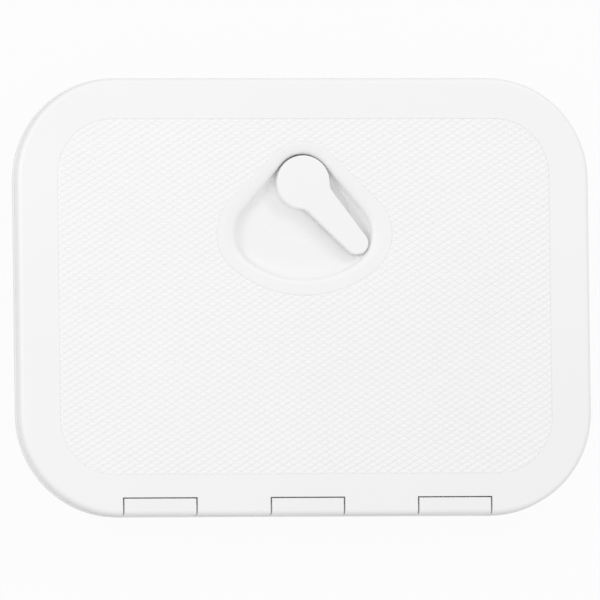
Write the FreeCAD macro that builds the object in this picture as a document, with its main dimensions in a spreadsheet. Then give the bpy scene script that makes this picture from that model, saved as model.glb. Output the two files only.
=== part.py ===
"""Hinged deck inspection hatch: a moulded frame that is let into the deck, a lid on three edge hinges,
a turning latch in a finger well, and a seal between lid and frame.

The origin is the centre of the fixing holes on the deck plane, which is the underside of the flange.
+X runs along the hinge edge, +Y points from the hinges to the latch, and +Z points out of the deck.
The latch handle is modelled unlatched, with its arm pointing away from the latch edge and to +X.
"""
import FreeCAD
import Part
import math
import os
import Sketcher

VECTOR = FreeCAD.Vector
UP = VECTOR(0, 0, 1)

# Driving dimensions, in millimetres and degrees
SIZES = {
    # Lid outline
    "plate_length": 358.6,
    "plate_width": 268.6,
    "plate_corner_radius": 62.5,
    # Frame: flange on the deck, and the neck that lines the deck cut-out and rises to the seal
    "flange_thickness": 3.5,
    "flange_margin": 0.7,
    "flange_width": 22.0,
    "flange_edge_radius": 0.8,
    "neck_wall": 3.0,
    "neck_depth": 25.0,
    "coaming_height": 8.5,
    "coaming_foot_radius": 1.5,
    "fixing_inset": 12.0,
    "fixing_radius": 2.25,
    "fixing_countersink": 2.0,
    "short_side_fixing_spacing": 80.0,
    # Keeper ledge inside the neck, which the latch cam turns under
    "keeper_length": 56.0,
    "keeper_reach": 9.0,
    "keeper_thickness": 4.0,
    "keeper_underside_depth": 4.0,
    "gusset_height": 6.0,
    "gusset_width": 3.0,
    # Lid shell
    "lid_top": 15.0,
    "lid_rim_gap": 0.7,
    "lid_skin": 3.0,
    "lid_rim_wall": 2.6,
    "lid_edge_radius": 3.0,
    "panel_margin": 24.8,
    "panel_corner_radius": 34.5,
    "panel_recess": 0.4,
    "rib_thickness": 2.0,
    "rib_depth": 4.5,
    "long_rib_spacing": 35.0,
    "cross_rib_spacing": 60.0,
    # Seal and its channel under the lid
    "seal_width": 7.0,
    "seal_rest_gap": 0.3,
    "seal_edge_radius": 1.0,
    "channel_wall": 2.0,
    "channel_depth": 2.2,
    # Edge hinges
    "hinge_axis_inset": 5.4,
    "hinge_axis_height": 10.0,
    "hinge_end_inset": 86.8,
    "hinge_block_width": 44.9,
    "hinge_block_depth": 10.3,
    "hinge_block_edge_radius": 0.6,
    "hinge_side_gap": 1.0,
    "hinge_swing_gap": 0.5,
    "knuckle_radius": 4.8,
    "knuckle_length": 9.0,
    "notch_wall": 2.4,
    "hinge_pin_radius": 2.0,
    "hinge_pin_running_gap": 0.06,
    "hinge_pin_seat_gap": 0.02,
    "hinge_pin_end_play": 0.2,
    "hinge_foot_reach": 9.7,
    "hinge_foot_thickness": 2.8,
    "hinge_foot_corner_radius": 2.0,
    "hinge_screw_spacing": 28.0,
    "hinge_screw_radius": 1.5,
    "hinge_screw_head_radius": 3.0,
    "hinge_screw_tip_gap": 0.4,
    "screw_hole_gap": 0.05,
    # Finger well in the lid
    "latch_inset": 64.0,
    "well_depth": 8.6,
    "well_reach": 59.5,
    "well_half_angle": 45.0,
    "well_corner_radius": 22.0,
    "well_lip_start_angle": 15.0,
    "well_lip_depth": 3.8,
    "well_lip_flare": 3.6,
    "well_lip_head_flare": 5.8,
    "well_lip_corner_flare": 5.6,
    "well_lip_turn": 5.0,
    "well_wall_depth": 4.6,
    "well_bowl_width": 25.0,
    "well_bowl_head_width": 0.5,
    "well_bowl_corner_loss": 12.0,
    "well_bowl_turn": 7.0,
    "cup_wall": 2.5,
    "collar_head_width": 7.1,
    "collar_width": 10.0,
    "collar_corner_radius": 28.0,
    # Latch handle
    "handle_head_radius": 16.5,
    "handle_head_gap": 1.0,
    "handle_floor_gap": 0.3,
    "handle_top_drop": 0.3,
    "handle_reach": 50.2,
    "handle_tip_radius": 7.0,
    "handle_taper_angle": 4.6,
    "handle_neck_radius": 8.0,
    "handle_arm_thickness": 5.6,
    "handle_tip_thickness": 4.4,
    "handle_edge_radius": 1.0,
    "handle_swing_half_angle": 41.5,
    "handle_drum_edge_radius": 2.0,
    "spindle_radius": 6.0,
    "spindle_running_gap": 0.08,
    "boss_radius": 10.5,
    "drive_square": 8.0,
    "drive_square_gap": 0.1,
    "drive_square_recess": 0.3,
    "o_ring_section_radius": 0.9,
    "o_ring_side_room": 0.2,
    "o_ring_squeeze_gap": 0.03,
    # Latch cam and its fastener
    "cam_clearance": 0.4,
    "cam_thickness": 5.0,
    "cam_hub_radius": 9.0,
    "cam_reach": 30.0,
    "cam_nose_radius": 6.0,
    "cam_taper_angle": 2.0,
    "cam_ramp": 1.2,
    "thrust_washer_radius": 9.5,
    "thrust_washer_thickness": 1.0,
    "thrust_washer_gap": 0.3,
    "cam_screw_radius": 2.0,
    "cam_screw_grip": 9.0,
    "cam_screw_runout": 1.0,
    "cam_screw_head_radius": 3.8,
    "cam_screw_head_height": 2.8,
    "cam_screw_socket": 2.5,
    "cam_screw_socket_depth": 1.6,
    "cam_washer_radius": 6.5,
    "cam_washer_thickness": 1.0,
    "lock_washer_radius": 3.7,
    "lock_washer_thickness": 1.0,
    "lock_washer_split": 0.8,
}

HINGE_SIDES = {"left": "-1", "middle": "0", "right": "1"}
HINGE_END_SIGNS = ("-1", "1")

# How far round its quarter turn each drawn level of the finger well is, in degrees: the lip rolls in from
# the level top to the upright wall, and the bowl from the upright wall to the level floor
LIP_LEVELS = {"well_mouth": "sizes.well_lip_start_angle", "lip_upper": "40", "lip_lower": "65", "well_wall": "90"}
BOWL_LEVELS = {"edge": "0", "side": "30", "turn": "60", "floor": "90"}

document = FreeCAD.newDocument("deck_hatch")
sheet = document.addObject("Spreadsheet::Sheet", "sizes")
for row, (alias, number) in enumerate(SIZES.items(), start=1):
    sheet.set(f"A{row}", alias)
    sheet.set(f"B{row}", str(number))
    sheet.setAlias(f"B{row}", alias)
document.recompute()

# Places worked out from the driving dimensions, as formulas of the sheet's cells
HALF_LENGTH = "sizes.plate_length / 2"
HALF_WIDTH = "sizes.plate_width / 2"
NECK_LENGTH = "(sizes.plate_length - 2 * sizes.flange_width)"
NECK_WIDTH = "(sizes.plate_width - 2 * sizes.flange_width)"
NECK_RADIUS = "(sizes.plate_corner_radius - sizes.flange_width)"
NECK_INNER_Y = f"({NECK_WIDTH} / 2 - sizes.neck_wall)"
LID_UNDERSIDE = "(sizes.lid_top - sizes.lid_skin)"
LID_RIM_BOTTOM = "(sizes.flange_thickness + sizes.lid_rim_gap)"
SEAL_BOTTOM = "(sizes.coaming_height + sizes.seal_rest_gap)"
HINGE_PITCH = f"({HALF_LENGTH} - sizes.hinge_end_inset)"
HINGE_Y = f"(sizes.hinge_axis_inset - {HALF_WIDTH})"
HINGE_Z = "sizes.hinge_axis_height"
BLOCK_OUTER_Y = f"(0 - {HALF_WIDTH})"
BLOCK_INNER_Y = f"(sizes.hinge_block_depth - {HALF_WIDTH})"
FOOT_INNER_Y = f"({BLOCK_INNER_Y} + sizes.hinge_foot_reach)"
FOOT_TOP = "(sizes.flange_thickness + sizes.hinge_foot_thickness)"
HINGE_SCREW_Y = f"({BLOCK_INNER_Y} + sizes.hinge_foot_reach / 2)"
NOTCH_WIDTH = "(sizes.hinge_block_width + 2 * sizes.hinge_side_gap)"
NOTCH_RADIUS = (
    "(sqrt((sizes.hinge_block_depth - sizes.hinge_axis_inset) ^ 2"
    " + (sizes.lid_top - sizes.hinge_axis_height) ^ 2) + sizes.hinge_swing_gap)"
)
NOTCH_WALL_BOTTOM = f"({FOOT_TOP} + sizes.hinge_swing_gap)"
HINGE_SPAN = f"({NOTCH_WIDTH} + 2 * sizes.knuckle_length)"
LATCH_Y = f"({HALF_WIDTH} - sizes.latch_inset)"
WELL_FLOOR = "(sizes.lid_top - sizes.well_depth)"
WELL_HEAD_RADIUS = "(sizes.handle_head_radius + sizes.handle_head_gap)"
CAM_TOP = "(0 - sizes.keeper_underside_depth - sizes.cam_clearance)"
CAM_BOTTOM = f"({CAM_TOP} - sizes.cam_thickness)"
BOSS_BOTTOM = f"({CAM_TOP} + sizes.thrust_washer_thickness + sizes.thrust_washer_gap)"
HANDLE_TOP = "(sizes.lid_top - sizes.handle_top_drop)"
HANDLE_BOTTOM = f"({WELL_FLOOR} + sizes.handle_floor_gap)"
SQUARE_BOTTOM = f"({CAM_BOTTOM} + sizes.drive_square_recess)"
O_RING_Z = f"(({HANDLE_BOTTOM} + {BOSS_BOTTOM}) / 2)"


def amount(formula):
    """The present value of a formula of the sheet's cells."""
    return float(sheet.evalExpression(formula))


# Sketches

def new_body(name):
    body = document.addObject("PartDesign::Body", name)
    body.Label = name
    return body


def new_sketch(body, name, plane, height="0", shift_y="0"):
    """A sketch parallel to one of the body's planes, height along its normal, shift_y in its own Y."""
    sketch = body.newObject("Sketcher::SketchObject", name)
    support = [feature for feature in body.Origin.OriginFeatures if feature.Role == plane][0]
    sketch.AttachmentSupport = (support, "")
    sketch.MapMode = "FlatFace"
    sketch.setExpression("AttachmentOffset.Base.z", height)
    sketch.setExpression("AttachmentOffset.Base.y", shift_y)
    return sketch


def drive(sketch, constraint, formula):
    """Add a dimension that keeps following a formula."""
    number = sketch.addConstraint(constraint)
    sketch.setExpression(f"Constraints[{number}]", formula)


def place_point(sketch, item, end, x, y):
    """Fix one point of the sketch by its distances from the sketch's origin."""
    drive(sketch, Sketcher.Constraint("DistanceX", -1, 1, item, end, amount(x)), x)
    drive(sketch, Sketcher.Constraint("DistanceY", -1, 1, item, end, amount(y)), y)


def add_line(sketch, start, end):
    return sketch.addGeometry(Part.LineSegment(start, end), False)


def add_arc(sketch, centre, radius, start_degrees, end_degrees):
    circle = Part.Circle(centre, UP, radius)
    arc = Part.ArcOfCircle(circle, math.radians(start_degrees), math.radians(end_degrees))
    return sketch.addGeometry(arc, False)


def join_smoothly(sketch, loop):
    """Join each item's end to the next item's start, tangent, all the way round."""
    for item, following in zip(loop, loop[1:] + loop[:1]):
        sketch.addConstraint(Sketcher.Constraint("Tangent", item, 2, following, 1))


def add_circle(sketch, x, y, radius):
    centre = VECTOR(amount(x), amount(y), 0)
    item = sketch.addGeometry(Part.Circle(centre, UP, amount(radius)), False)
    place_point(sketch, item, 3, x, y)
    drive(sketch, Sketcher.Constraint("Radius", item, amount(radius)), radius)


def add_outline(sketch, corners):
    """A closed outline through its corners, in order.

    A line reaches a corner given as (x, y), and an arc reaches one given as
    (x, y, centre_x, centre_y, start_degrees, end_degrees, turns_left).
    """
    items = []
    for corner, previous in zip(corners, corners[-1:] + corners[:-1]):
        start = VECTOR(amount(previous[0]), amount(previous[1]), 0)
        end = VECTOR(amount(corner[0]), amount(corner[1]), 0)
        if len(corner) == 2:
            items.append((add_line(sketch, start, end), 1, 2))
            continue
        centre = VECTOR(amount(corner[2]), amount(corner[3]), 0)
        item = add_arc(sketch, centre, (end - centre).Length, corner[4], corner[5])
        drive(sketch, Sketcher.Constraint("DistanceX", -1, 1, item, 3, centre.x), corner[2])
        items.append((item, 1, 2) if corner[6] else (item, 2, 1))
    for (item, first, last), (following, next_first, _), corner in zip(items, items[1:] + items[:1], corners):
        sketch.addConstraint(Sketcher.Constraint("Coincident", item, last, following, next_first))
        place_point(sketch, item, last, corner[0], corner[1])


def add_rectangle(sketch, low_x, high_x, low_y, high_y):
    add_outline(sketch, [(low_x, low_y), (high_x, low_y), (high_x, high_y), (low_x, high_y)])


def add_rounded_rectangle(sketch, length, width, radius):
    """A rectangle with round corners, centred on the sketch's origin."""
    half_x = amount(length) / 2
    half_y = amount(width) / 2
    round_off = amount(radius)
    inner_x = half_x - round_off
    inner_y = half_y - round_off
    loop = [
        add_line(sketch, VECTOR(-inner_x, -half_y, 0), VECTOR(inner_x, -half_y, 0)),
        add_arc(sketch, VECTOR(inner_x, -inner_y, 0), round_off, -90, 0),
        add_line(sketch, VECTOR(half_x, -inner_y, 0), VECTOR(half_x, inner_y, 0)),
        add_arc(sketch, VECTOR(inner_x, inner_y, 0), round_off, 0, 90),
        add_line(sketch, VECTOR(inner_x, half_y, 0), VECTOR(-inner_x, half_y, 0)),
        add_arc(sketch, VECTOR(-inner_x, inner_y, 0), round_off, 90, 180),
        add_line(sketch, VECTOR(-half_x, inner_y, 0), VECTOR(-half_x, -inner_y, 0)),
        add_arc(sketch, VECTOR(-inner_x, -inner_y, 0), round_off, 180, 270),
    ]
    join_smoothly(sketch, loop)
    bottom, arc, right, arc_2, top, arc_3, left, arc_4 = loop
    sketch.addConstraint(Sketcher.Constraint("Horizontal", bottom))
    sketch.addConstraint(Sketcher.Constraint("Horizontal", top))
    sketch.addConstraint(Sketcher.Constraint("Vertical", left))
    sketch.addConstraint(Sketcher.Constraint("Vertical", right))
    for other in (arc_2, arc_3, arc_4):
        sketch.addConstraint(Sketcher.Constraint("Equal", arc, other))
    sketch.addConstraint(Sketcher.Constraint("Symmetric", arc_4, 3, arc_2, 3, -1, 1))
    drive(sketch, Sketcher.Constraint("Radius", arc, round_off), radius)
    drive(sketch, Sketcher.Constraint("DistanceX", left, 1, right, 1, 2 * half_x), length)
    drive(sketch, Sketcher.Constraint("DistanceY", bottom, 1, top, 1, 2 * half_y), width)


def add_fan(sketch, head_radius, reach, corner_radius, half_angle):
    """The finger well's outline about the spindle: round at the head, and a fan away from it to -Y."""
    head = amount(head_radius)
    far = amount(reach)
    corner = amount(corner_radius)
    angle = math.radians(amount(half_angle))
    along = VECTOR(math.sin(angle), -math.cos(angle), 0)
    outward = VECTOR(math.cos(angle), math.sin(angle), 0)
    run = math.sqrt((far - corner) ** 2 - (head - corner) ** 2)
    right_centre = outward * (head - corner) + along * run
    left_centre = VECTOR(-right_centre.x, right_centre.y, 0)
    right_tangent = outward * head
    left_tangent = VECTOR(-right_tangent.x, right_tangent.y, 0)
    right_end = outward * head + along * run
    left_end = VECTOR(-right_end.x, right_end.y, 0)
    side_degrees = math.degrees(angle)
    lobe_degrees = math.degrees(math.atan2(right_centre.y, right_centre.x))
    loop = [
        add_arc(sketch, VECTOR(), head, side_degrees, 180 - side_degrees),
        add_line(sketch, left_tangent, left_end),
        add_arc(sketch, left_centre, corner, 180 - side_degrees, 180 - lobe_degrees),
        add_arc(sketch, VECTOR(), far, 180 - lobe_degrees, 360 + lobe_degrees),
        add_arc(sketch, right_centre, corner, lobe_degrees, side_degrees),
        add_line(sketch, right_end, right_tangent),
    ]
    join_smoothly(sketch, loop)
    head_arc, left_side, left_corner, far_arc, right_corner, right_side = loop
    sketch.addConstraint(Sketcher.Constraint("Coincident", head_arc, 3, -1, 1))
    sketch.addConstraint(Sketcher.Constraint("Coincident", far_arc, 3, -1, 1))
    sketch.addConstraint(Sketcher.Constraint("Equal", left_corner, right_corner))
    drive(sketch, Sketcher.Constraint("Radius", head_arc, head), head_radius)
    drive(sketch, Sketcher.Constraint("Radius", far_arc, far), reach)
    drive(sketch, Sketcher.Constraint("Radius", right_corner, corner), corner_radius)
    tangent_x = f"({head_radius}) * cos(({half_angle}) * 1deg)"
    drive(sketch, Sketcher.Constraint("DistanceX", -1, 1, right_side, 2, right_tangent.x), tangent_x)
    drive(sketch, Sketcher.Constraint("DistanceX", -1, 1, left_side, 1, left_tangent.x), f"0 - {tangent_x}")


def add_lever(sketch, hub_radius, reach, tip_radius, taper_angle, neck_radius):
    """A round hub at the origin and an arm to -Y that narrows to a round tip, with hollow necks between."""
    hub = amount(hub_radius)
    far = amount(reach)
    tip = amount(tip_radius)
    neck = amount(neck_radius)
    taper = math.radians(amount(taper_angle))
    outward = VECTOR(math.cos(taper), -math.sin(taper), 0)
    along = VECTOR(-math.sin(taper), -math.cos(taper), 0)
    side_distance = far * math.sin(taper) + tip
    run = math.sqrt((hub + neck) ** 2 - (side_distance + neck) ** 2)
    neck_centre = outward * (side_distance + neck) + along * run
    hub_joint = neck_centre * (hub / (hub + neck))
    side_start = neck_centre - outward * neck
    side_end = VECTOR(0, -far, 0) + outward * tip
    hub_degrees = math.degrees(math.atan2(hub_joint.y, hub_joint.x))
    taper_degrees = math.degrees(taper)

    def mirrored(point):
        return VECTOR(-point.x, point.y, 0)

    hub_arc = add_arc(sketch, VECTOR(), hub, hub_degrees, 180 - hub_degrees)
    left_neck = add_arc(sketch, mirrored(neck_centre), neck, taper_degrees, -hub_degrees)
    left_side = add_line(sketch, mirrored(side_start), mirrored(side_end))
    tip_arc = add_arc(sketch, VECTOR(0, -far, 0), tip, 180 + taper_degrees, 360 - taper_degrees)
    right_side = add_line(sketch, side_end, side_start)
    right_neck = add_arc(sketch, neck_centre, neck, 180 + hub_degrees, 180 - taper_degrees)
    joints = [
        (hub_arc, 2, left_neck, 2), (left_neck, 1, left_side, 1), (left_side, 2, tip_arc, 1),
        (tip_arc, 2, right_side, 1), (right_side, 2, right_neck, 2), (right_neck, 1, hub_arc, 1),
    ]
    for item, end, following, start in joints:
        sketch.addConstraint(Sketcher.Constraint("Tangent", item, end, following, start))
    sketch.addConstraint(Sketcher.Constraint("Coincident", hub_arc, 3, -1, 1))
    sketch.addConstraint(Sketcher.Constraint("PointOnObject", tip_arc, 3, -2))
    sketch.addConstraint(Sketcher.Constraint("Equal", left_neck, right_neck))
    drive(sketch, Sketcher.Constraint("Radius", hub_arc, hub), hub_radius)
    drive(sketch, Sketcher.Constraint("Radius", tip_arc, tip), tip_radius)
    drive(sketch, Sketcher.Constraint("Radius", right_neck, neck), neck_radius)
    drive(sketch, Sketcher.Constraint("DistanceY", -1, 1, tip_arc, 3, -far), f"0 - ({reach})")
    side_x = f"({tip_radius}) * cos(({taper_angle}) * 1deg)"
    drive(sketch, Sketcher.Constraint("DistanceX", -1, 1, right_side, 1, side_end.x), side_x)
    drive(sketch, Sketcher.Constraint("DistanceX", -1, 1, left_side, 2, -side_end.x), f"0 - {side_x}")


# Features

def pad(body, name, sketch, length, reverse=False, both_ways=False):
    feature = body.newObject("PartDesign::Pad", name)
    feature.Profile = sketch
    feature.Reversed = reverse
    feature.Midplane = both_ways
    feature.setExpression("Length", length)
    return feature


def pocket(body, name, sketch, length, reverse=False, both_ways=False):
    feature = body.newObject("PartDesign::Pocket", name)
    feature.Profile = sketch
    feature.Reversed = reverse
    feature.Midplane = both_ways
    feature.setExpression("Length", length)
    return feature


def revolve(body, name, sketch, kind="PartDesign::Revolution"):
    """Turn a sketch on the XZ plane about its own vertical axis."""
    feature = body.newObject(kind, name)
    feature.Profile = sketch
    feature.ReferenceAxis = (sketch, ["V_Axis"])
    feature.Angle = 360.0
    return feature


def loft(body, name, kind, sections, ruled=False):
    feature = body.newObject(kind, name)
    feature.Profile = sections[0]
    feature.Sections = sections[1:]
    feature.Ruled = ruled
    return feature


def edges_where(shape, wanted):
    return [f"Edge{number}" for number, edge in enumerate(shape.Edges, start=1) if wanted(edge)]


def soften(body, name, kind, radius, wanted):
    """Round or bevel the edges of the body's last feature that pass a test."""
    document.recompute()
    base = body.Tip
    feature = body.newObject(kind, name)
    feature.Base = (base, edges_where(base.Shape, wanted))
    feature.setExpression("Size" if kind == "PartDesign::Chamfer" else "Radius", radius)
    return feature


def lies_at(number, target):
    return abs(number - target) < 1e-3


def flat_at(height):
    """A test for edges that lie in the level plane at a height."""
    target = amount(height)
    return lambda edge: lies_at(edge.BoundBox.ZMin, target) and lies_at(edge.BoundBox.ZMax, target)


def bind(item, **formulas):
    for name, formula in formulas.items():
        item.setExpression(name.replace("__", "."), formula)


def cylinder(name, radius, height, x="0", y="0", z="0"):
    item = document.addObject("Part::Cylinder", name)
    bind(item, Radius=radius, Height=height)
    bind(item, Placement__Base__x=x, Placement__Base__y=y, Placement__Base__z=z)
    return item


def cut(name, base, tool):
    item = document.addObject("Part::Cut", name)
    item.Label = name
    item.Base = base
    item.Tool = tool
    return item


def fuse(name, pieces):
    item = document.addObject("Part::MultiFuse", name)
    item.Label = name
    item.Shapes = pieces
    return item


def fixing_places():
    """The centres of the fixing holes in the flange, as pairs of formulas.

    Those of the long sides are midway between the hinges, so that the hinge blocks' feet leave them free.
    """
    straight_x = f"({HALF_LENGTH} - sizes.plate_corner_radius)"
    straight_y = f"({HALF_WIDTH} - sizes.plate_corner_radius)"
    diagonal = "(sizes.plate_corner_radius - sizes.fixing_inset) * cos(45deg)"
    quarters = [
        (f"({straight_x} + {diagonal})", f"({straight_y} + {diagonal})"),
        (f"({HINGE_PITCH} / 2)", f"({HALF_WIDTH} - sizes.fixing_inset)"),
        (f"({HALF_LENGTH} - sizes.fixing_inset)", "(sizes.short_side_fixing_spacing / 2)"),
    ]
    return [
        (f"{sign_x} * {x}", f"{sign_y} * {y}")
        for x, y in quarters
        for sign_x in ("-1", "1")
        for sign_y in ("-1", "1")
    ]


def hinge_centre(side):
    return f"({HINGE_SIDES[side]} * {HINGE_PITCH})"


def hinge_screw_places(side):
    return [
        f"({hinge_centre(side)} + {sign} * sizes.hinge_screw_spacing / 2)"
        for sign in HINGE_END_SIGNS
    ]


def make_deck_frame():
    body = new_body("deck_frame")
    outline = new_sketch(body, "flange_outline", "XY_Plane")
    add_rounded_rectangle(
        outline,
        "sizes.plate_length + 2 * sizes.flange_margin",
        "sizes.plate_width + 2 * sizes.flange_margin",
        "sizes.plate_corner_radius + sizes.flange_margin",
    )
    pad(body, "flange", outline, "sizes.flange_thickness")
    flange_top = flat_at("sizes.flange_thickness")
    soften(body, "flange_edge", "PartDesign::Fillet", "sizes.flange_edge_radius", flange_top)

    neck = new_sketch(body, "neck_outline", "XY_Plane", "0 - sizes.neck_depth")
    add_rounded_rectangle(neck, NECK_LENGTH, NECK_WIDTH, NECK_RADIUS)
    pad(body, "neck", neck, "sizes.neck_depth + sizes.coaming_height")
    neck_side = amount(NECK_LENGTH) / 2

    def meets_flange(edge):
        return flange_top(edge) and edge.BoundBox.XMax < neck_side + 1e-3
    soften(body, "coaming_foot", "PartDesign::Fillet", "sizes.coaming_foot_radius", meets_flange)

    opening = new_sketch(body, "opening_outline", "XY_Plane", "sizes.coaming_height")
    add_rounded_rectangle(
        opening,
        f"{NECK_LENGTH} - 2 * sizes.neck_wall",
        f"{NECK_WIDTH} - 2 * sizes.neck_wall",
        f"{NECK_RADIUS} - sizes.neck_wall",
    )
    pocket(body, "hatchway", opening, "sizes.neck_depth + sizes.coaming_height")

    keeper = new_sketch(body, "keeper_outline", "XY_Plane", "0 - sizes.keeper_underside_depth")
    keeper_low_y = f"({NECK_INNER_Y} - sizes.keeper_reach)"
    into_wall = f"({NECK_INNER_Y} + sizes.neck_wall / 2)"
    add_rectangle(keeper, "0 - sizes.keeper_length / 2", "sizes.keeper_length / 2", keeper_low_y, into_wall)
    pad(body, "keeper", keeper, "sizes.keeper_thickness")

    gusset_foot = "(sizes.keeper_thickness - sizes.keeper_underside_depth)"
    for name, sign in (("left", "-1"), ("centre", "0"), ("right", "1")):
        place = f"({sign} * (sizes.keeper_length - sizes.gusset_width) / 2)"
        gusset = new_sketch(body, f"gusset_profile_{name}", "YZ_Plane", place)
        add_outline(gusset, [
            (keeper_low_y, gusset_foot),
            (into_wall, gusset_foot),
            (into_wall, f"({gusset_foot} + sizes.gusset_height)"),
            (NECK_INNER_Y, f"({gusset_foot} + sizes.gusset_height)"),
        ])
        pad(body, f"gusset_{name}", gusset, "sizes.gusset_width", both_ways=True)

    holes = new_sketch(body, "fixing_hole_centres", "XY_Plane", "sizes.flange_thickness")
    for x, y in fixing_places():
        add_circle(holes, x, y, "sizes.fixing_radius")
    pocket(body, "fixing_holes", holes, "sizes.flange_thickness")
    wall_radius = amount("sizes.fixing_radius")

    def is_hole_mouth(edge):
        round_edge = isinstance(edge.Curve, Part.Circle) and lies_at(edge.Curve.Radius, wall_radius)
        return round_edge and flange_top(edge)
    soften(body, "countersinks", "PartDesign::Chamfer", "sizes.fixing_countersink", is_hole_mouth)

    pilots = new_sketch(body, "hinge_screw_centres", "XY_Plane", "sizes.flange_thickness")
    for side in HINGE_SIDES:
        for x in hinge_screw_places(side):
            add_circle(pilots, x, HINGE_SCREW_Y, "sizes.hinge_screw_radius + sizes.screw_hole_gap")
    pocket(body, "hinge_screw_pilots", pilots, "sizes.flange_thickness")
    return body


def make_lid():
    body = new_body("lid")
    outline = new_sketch(body, "lid_outline", "XY_Plane", LID_RIM_BOTTOM)
    add_rounded_rectangle(outline, "sizes.plate_length", "sizes.plate_width", "sizes.plate_corner_radius")
    pad(body, "lid_block", outline, f"sizes.lid_top - {LID_RIM_BOTTOM}")
    soften(body, "top_edge", "PartDesign::Fillet", "sizes.lid_edge_radius", flat_at("sizes.lid_top"))

    hollow = new_sketch(body, "hollow_outline", "XY_Plane", LID_RIM_BOTTOM)
    add_rounded_rectangle(
        hollow,
        "sizes.plate_length - 2 * sizes.lid_rim_wall",
        "sizes.plate_width - 2 * sizes.lid_rim_wall",
        "sizes.plate_corner_radius - sizes.lid_rim_wall",
    )
    pocket(body, "hollow", hollow, f"{LID_UNDERSIDE} - {LID_RIM_BOTTOM}", reverse=True)

    add_hinge_knuckles(body)
    cut_hinge_notches(body)
    panel = new_sketch(body, "panel_outline", "XY_Plane", "sizes.lid_top")
    add_rounded_rectangle(
        panel,
        "sizes.plate_length - 2 * sizes.panel_margin",
        "sizes.plate_width - 2 * sizes.panel_margin",
        "sizes.panel_corner_radius",
    )
    pocket(body, "panel", panel, "sizes.panel_recess")
    collar = new_sketch(body, "collar_outline", "XY_Plane", "sizes.lid_top", LATCH_Y)
    add_collar(collar)
    pad(body, "collar", collar, "sizes.panel_recess", reverse=True)
    add_seal_channel(body)
    add_ribs(body)
    add_finger_well(body)
    return body


def add_collar(sketch):
    """The smooth surround of the finger well, which is a wider fan about the spindle."""
    add_fan(
        sketch,
        f"{WELL_HEAD_RADIUS} + sizes.collar_head_width",
        "sizes.well_reach + sizes.collar_width",
        "sizes.collar_corner_radius",
        "sizes.well_half_angle",
    )


def add_seal_channel(body):
    """Two low walls under the lid, one each side of the seal."""
    middle_length = f"({NECK_LENGTH} - sizes.neck_wall)"
    middle_width = f"({NECK_WIDTH} - sizes.neck_wall)"
    middle_radius = f"({NECK_RADIUS} - sizes.neck_wall / 2)"
    inner = "(sizes.seal_width / 2)"
    outer = "(sizes.seal_width / 2 + sizes.channel_wall)"
    sketch = new_sketch(body, "seal_channel_outline", "XY_Plane", LID_UNDERSIDE)
    for offset in (outer, inner, f"(0 - {inner})", f"(0 - {outer})"):
        add_rounded_rectangle(
            sketch,
            f"{middle_length} + 2 * {offset}",
            f"{middle_width} + 2 * {offset}",
            f"{middle_radius} + {offset}",
        )
    pad(body, "seal_channel", sketch, "sizes.channel_depth", reverse=True)


def add_ribs(body):
    """Crossed stiffening ribs under the lid, inside the seal channel and clear of its corners."""
    margin = "(sizes.flange_width + sizes.neck_wall / 2 + sizes.seal_width / 2 + sizes.channel_wall / 2)"
    end_x = f"({HALF_LENGTH} - {margin})"
    end_y = f"({HALF_WIDTH} - {margin})"
    half = "(sizes.rib_thickness / 2)"
    straight_y = amount(f"{HALF_WIDTH} - sizes.plate_corner_radius")
    straight_x = amount(f"{HALF_LENGTH} - sizes.plate_corner_radius")
    long_count = int(straight_y / amount("sizes.long_rib_spacing"))
    cross_count = int(straight_x / amount("sizes.cross_rib_spacing"))
    long_ribs = new_sketch(body, "long_rib_outlines", "XY_Plane", LID_UNDERSIDE)
    for step in range(-long_count, long_count + 1):
        middle = f"({step} * sizes.long_rib_spacing)"
        add_rectangle(long_ribs, f"0 - {end_x}", end_x, f"{middle} - {half}", f"{middle} + {half}")
    pad(body, "long_ribs", long_ribs, "sizes.rib_depth", reverse=True)
    cross_ribs = new_sketch(body, "cross_rib_outlines", "XY_Plane", LID_UNDERSIDE)
    for step in range(-cross_count, cross_count + 1):
        middle = f"({step} * sizes.cross_rib_spacing)"
        add_rectangle(cross_ribs, f"{middle} - {half}", f"{middle} + {half}", f"0 - {end_y}", end_y)
    pad(body, "cross_ribs", cross_ribs, "sizes.rib_depth", reverse=True)


def add_hinge_knuckles(body):
    """Round barrels at both ends of each hinge, the wall behind its block, and the pin's bore."""
    wall_inner_y = f"({HINGE_Y} + {NOTCH_RADIUS} + sizes.notch_wall)"
    half = f"({NOTCH_WIDTH} / 2 + sizes.notch_wall)"
    walls = new_sketch(body, "notch_wall_outlines", "XY_Plane", LID_UNDERSIDE)
    for side in HINGE_SIDES:
        centre = hinge_centre(side)
        add_rectangle(walls, f"{centre} - {half}", f"{centre} + {half}", HINGE_Y, wall_inner_y)
    pad(body, "notch_walls", walls, f"{LID_UNDERSIDE} - {NOTCH_WALL_BOTTOM}", reverse=True)
    for side in HINGE_SIDES:
        centre = hinge_centre(side)
        barrel = new_sketch(body, f"barrel_outline_{side}", "YZ_Plane", centre)
        add_circle(barrel, HINGE_Y, HINGE_Z, "sizes.knuckle_radius")
        pad(body, f"barrel_{side}", barrel, HINGE_SPAN, both_ways=True)
        bore = new_sketch(body, f"bore_outline_{side}", "YZ_Plane", centre)
        add_circle(bore, HINGE_Y, HINGE_Z, "sizes.hinge_pin_radius + sizes.hinge_pin_running_gap")
        pocket(body, f"bore_{side}", bore, HINGE_SPAN, both_ways=True)


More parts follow.
